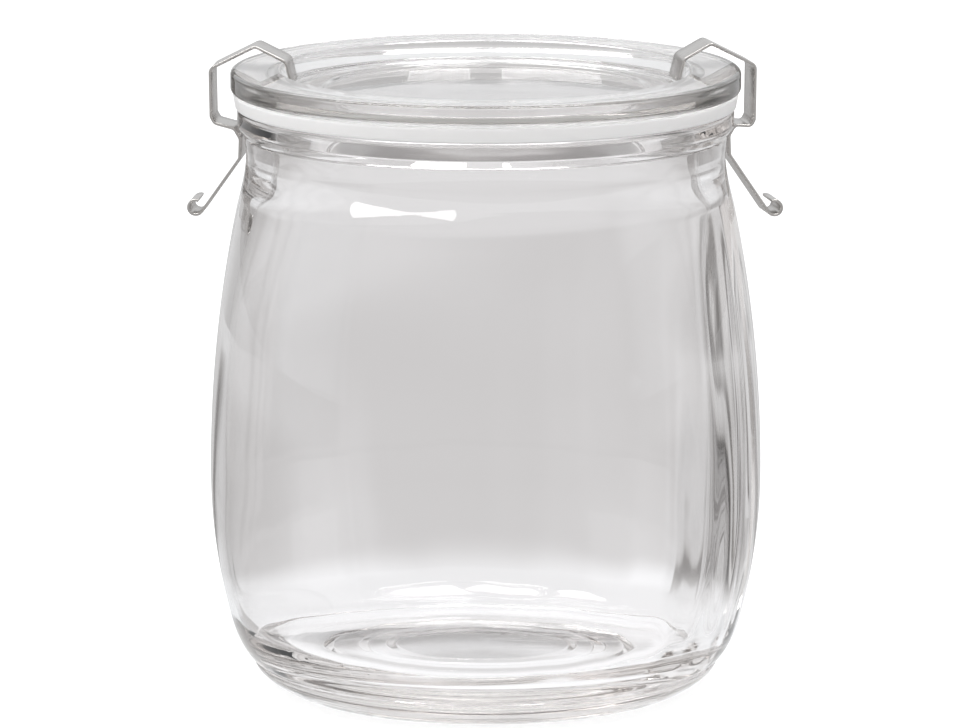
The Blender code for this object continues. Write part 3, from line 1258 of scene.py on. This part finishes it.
        # Painted shade: deep rays see a dark band low at the back, which darkens the thick rims
        deep = add_node(
            tree, "ShaderNodeMapRange", {"From Min": self.deep_rays - 1, "From Max": self.deep_rays},
            {"Value": path.outputs["Ray Depth"]},
        )
        by_turn = profile(tree, bearing.outputs[0], math.degrees(1), self.deep_sides)
        by_rise = profile(tree, elevation.outputs[0], math.degrees(1), self.deep_air)
        dark = deep.outputs["Result"]
        for share in (by_turn, by_rise):
            dark = add_node(
                tree, "ShaderNodeMath", None, {0: dark, 1: share}, operation="MULTIPLY"
            ).outputs[0]
        seen_deep = add_node(
            tree, "ShaderNodeMix", {"B": self.deep_strength}, {"Factor": dark, "A": shaded.outputs[0]}
        )
        light = add_node(
            tree, "ShaderNodeMix", {"A": self.front_light},
            {"Factor": behind.outputs["Result"], "B": seen_deep.outputs["Result"]},
        ).outputs["Result"]
        front = add_node(tree, "ShaderNodeMath", {1: -1.0}, {0: back}, operation="MULTIPLY")
        azimuth = add_node(
            tree, "ShaderNodeMath", None, {0: right, 1: front.outputs[0]}, operation="ARCTAN2"
        ).outputs[0]
        for panel in self.panels:
            mask = self.panel_mask(tree, panel, azimuth, rise)
            light = add_node(
                tree, "ShaderNodeMix", {"B": panel.strength}, {"Factor": mask, "A": light}
            ).outputs["Result"]
        hue = add_node(
            tree, "ShaderNodeMix", {"A": linear(self.dim_hue), "B": linear(self.bright_hue)},
            {"Factor": light}, data_type="RGBA",
        )
        strength = add_node(
            tree, "ShaderNodeMix", {"B": 1.0},
            {"Factor": path.outputs["Is Camera Ray"], "A": light},
        )
        colour = add_node(
            tree, "ShaderNodeMix", {"B": (1, 1, 1, 1)},
            {"Factor": path.outputs["Is Camera Ray"], "A": hue.outputs["Result"]}, data_type="RGBA",
        )
        glow = add_node(
            tree, "ShaderNodeBackground", None,
            {"Color": colour.outputs["Result"], "Strength": strength.outputs["Result"]},
        )
        add_node(tree, "ShaderNodeOutputWorld", None, {"Surface": glow.outputs["Background"]})
        bpy.context.scene.world = world

    def lamp(self, box: Softbox) -> None:
        """Hang a softbox over the jar.

        Args:
            box: where it hangs, how large it is and how bright.
        """
        data = bpy.data.lights.new(box.name, "AREA")
        data.shape = "RECTANGLE"
        data.size, data.size_y = box.size
        data.energy = box.power
        light = bpy.data.objects.new(box.name, data)
        light.location = box.middle
        light.rotation_euler.z = math.radians(box.turn)
        bpy.context.scene.collection.objects.link(light)

    def build(self) -> None:
        """Set up camera, floor, world and lights."""
        self.camera()
        self.floor()
        self.world()
        for box in self.softboxes:
            self.lamp(box)
        scene = bpy.context.scene
        scene.view_settings.view_transform = "Standard"
        scene.cycles.max_bounces = self.light_bounces
        scene.cycles.glossy_bounces = self.light_bounces
        scene.cycles.transmission_bounces = self.light_bounces
        LOG.info("studio: %d softboxes, %d panels", len(self.softboxes), len(self.panels))


def main() -> None:
    """Build the studio and every piece of the jar, and note the sizes."""
    logging.basicConfig(level=logging.INFO, format="%(message)s")
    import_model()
    Studio().build()
    JarBody(SodaLimeGlass("blown_soda_lime_glass", depth_tint="A08468", depth_density=4.0)).build()
    SealingRing(MouldedSilicone()).build()
    Lid(SodaLimeGlass("pressed_soda_lime_glass")).build()
    steel = RolledSpringSteel()
    for side, azimuth, curl_height, corner_lift, bow_inset in (
        (Side.LEFT, 174.5, 66.3 * MM, 0.8 * MM, 0.0),
        (Side.RIGHT, 11.0, 65.6 * MM, -0.1 * MM, 0.45 * MM),
    ):
        SpringClip(side, steel, azimuth, curl_height, corner_lift, bow_inset).build()


if __name__ == "__main__":
    main()
